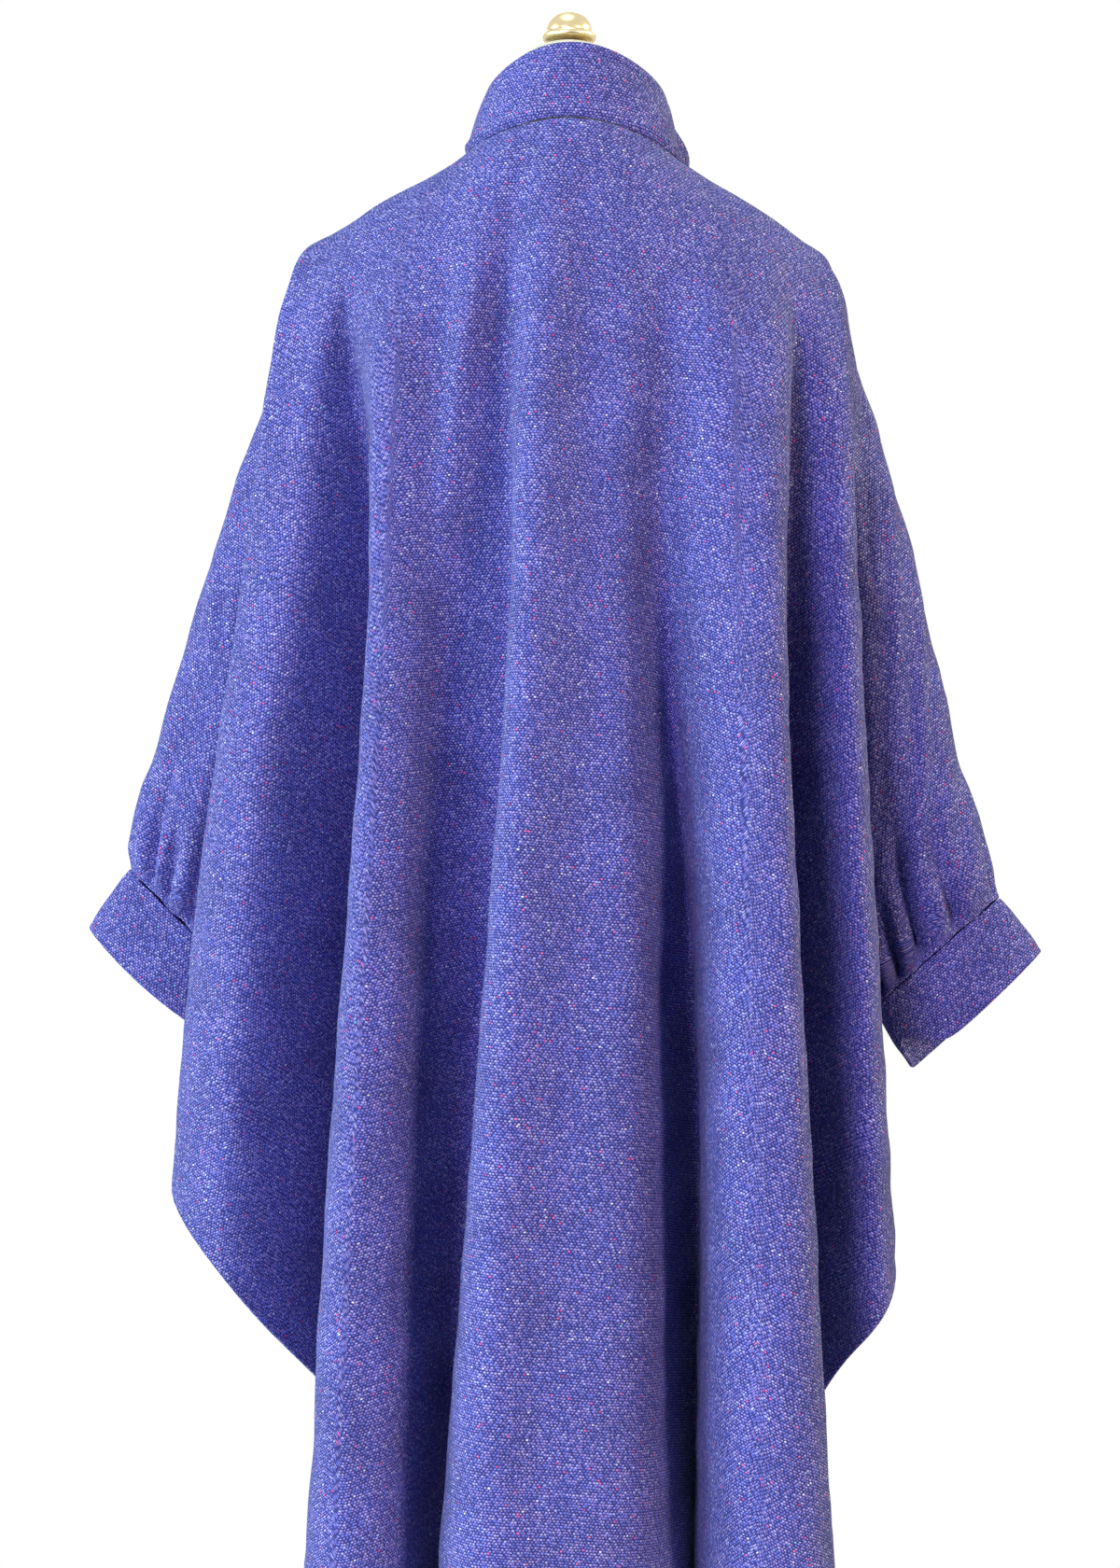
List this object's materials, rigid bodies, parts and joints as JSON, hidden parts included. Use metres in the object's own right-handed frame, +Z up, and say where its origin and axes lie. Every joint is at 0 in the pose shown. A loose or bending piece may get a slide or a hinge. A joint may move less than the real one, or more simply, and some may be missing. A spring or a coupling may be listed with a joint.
{
  "type": "wool cape coat on a limbless dress form",
  "caption": "Long cape coat of heavy tweed with stand collar, rolled side folds and gathered cuffed sleeves, worn by a limbless dress form on a pole and round base.",
  "frame": {"origin": "centre of the underside of the form's round base", "axes": "+Z up along the pole, the coat's back faces -Y, and +X is to the right of someone who looks at that back"},
  "size_m": [0.8375, 0.4512, 1.539],
  "materials": {
    "tweed": "coarse heathered blue-violet wool tweed with a napped surface",
    "button_horn": "dark semi-gloss horn-like resin",
    "form_cover": "tight matte cream cover cloth",
    "brass": "polished",
    "base_paint": "black satin"
  },
  "bodies": {
    "root": {"back": "tweed", "front_left": "tweed", "front_right": "tweed", "sleeve_left": "tweed", "sleeve_right": "tweed", "cuff_left": "tweed", "cuff_right": "tweed", "collar": "tweed", "button_1": "button_horn", "button_2": "button_horn", "button_3": "button_horn", "button_4": "button_horn", "form_torso": "form_cover", "form_neck_cap": "form_cover", "form_finial": "brass", "form_pole": "brass", "form_base": "base_paint"}
  },
  "joints": []
}
